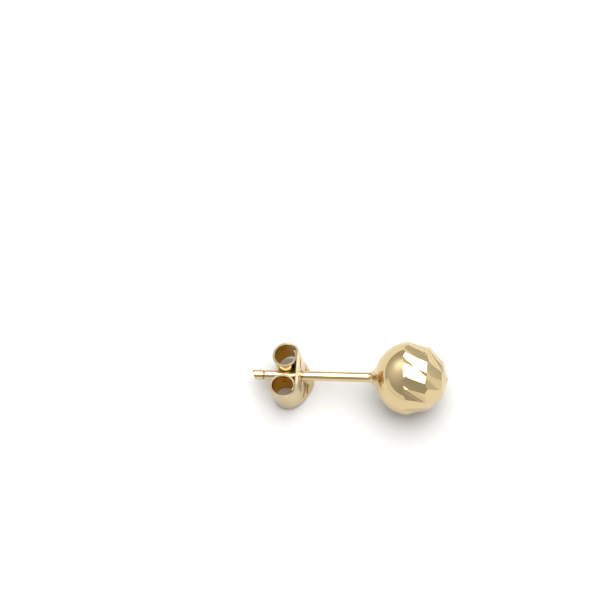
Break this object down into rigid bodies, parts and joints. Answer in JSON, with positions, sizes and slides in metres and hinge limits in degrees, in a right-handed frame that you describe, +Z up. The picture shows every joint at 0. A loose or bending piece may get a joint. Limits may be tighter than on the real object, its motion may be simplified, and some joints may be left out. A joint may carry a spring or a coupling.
{
  "type": "ball stud earring",
  "caption": "Gold ball stud earring with slanted diamond-cut facets on the front of the ball, a straight post and a butterfly clutch that slides on it.",
  "frame": {"origin": "centre of the bottom of the bounding box, on the surface the earring lies on", "axes": "+X along the post in plan, from its tip towards the ball; +Z up; +Y across, to the left when looking along +X"},
  "size_m": [0.0158, 0.006, 0.0059],
  "materials": {
    "gold_stud": "polished yellow gold",
    "gold_clutch": "polished yellow gold sheet, lightly scratched"
  },
  "bodies": {
    "stud": {"ball_stud": "gold_stud"},
    "clutch": {"butterfly_clutch": "gold_clutch"}
  },
  "joints": [
    {"name": "clutch_slide", "type": "slide", "parent": "stud", "child": "clutch", "axis": [0.9933, 0, 0.1152], "range_m": [-0.0051, 0.0053]}
  ]
}
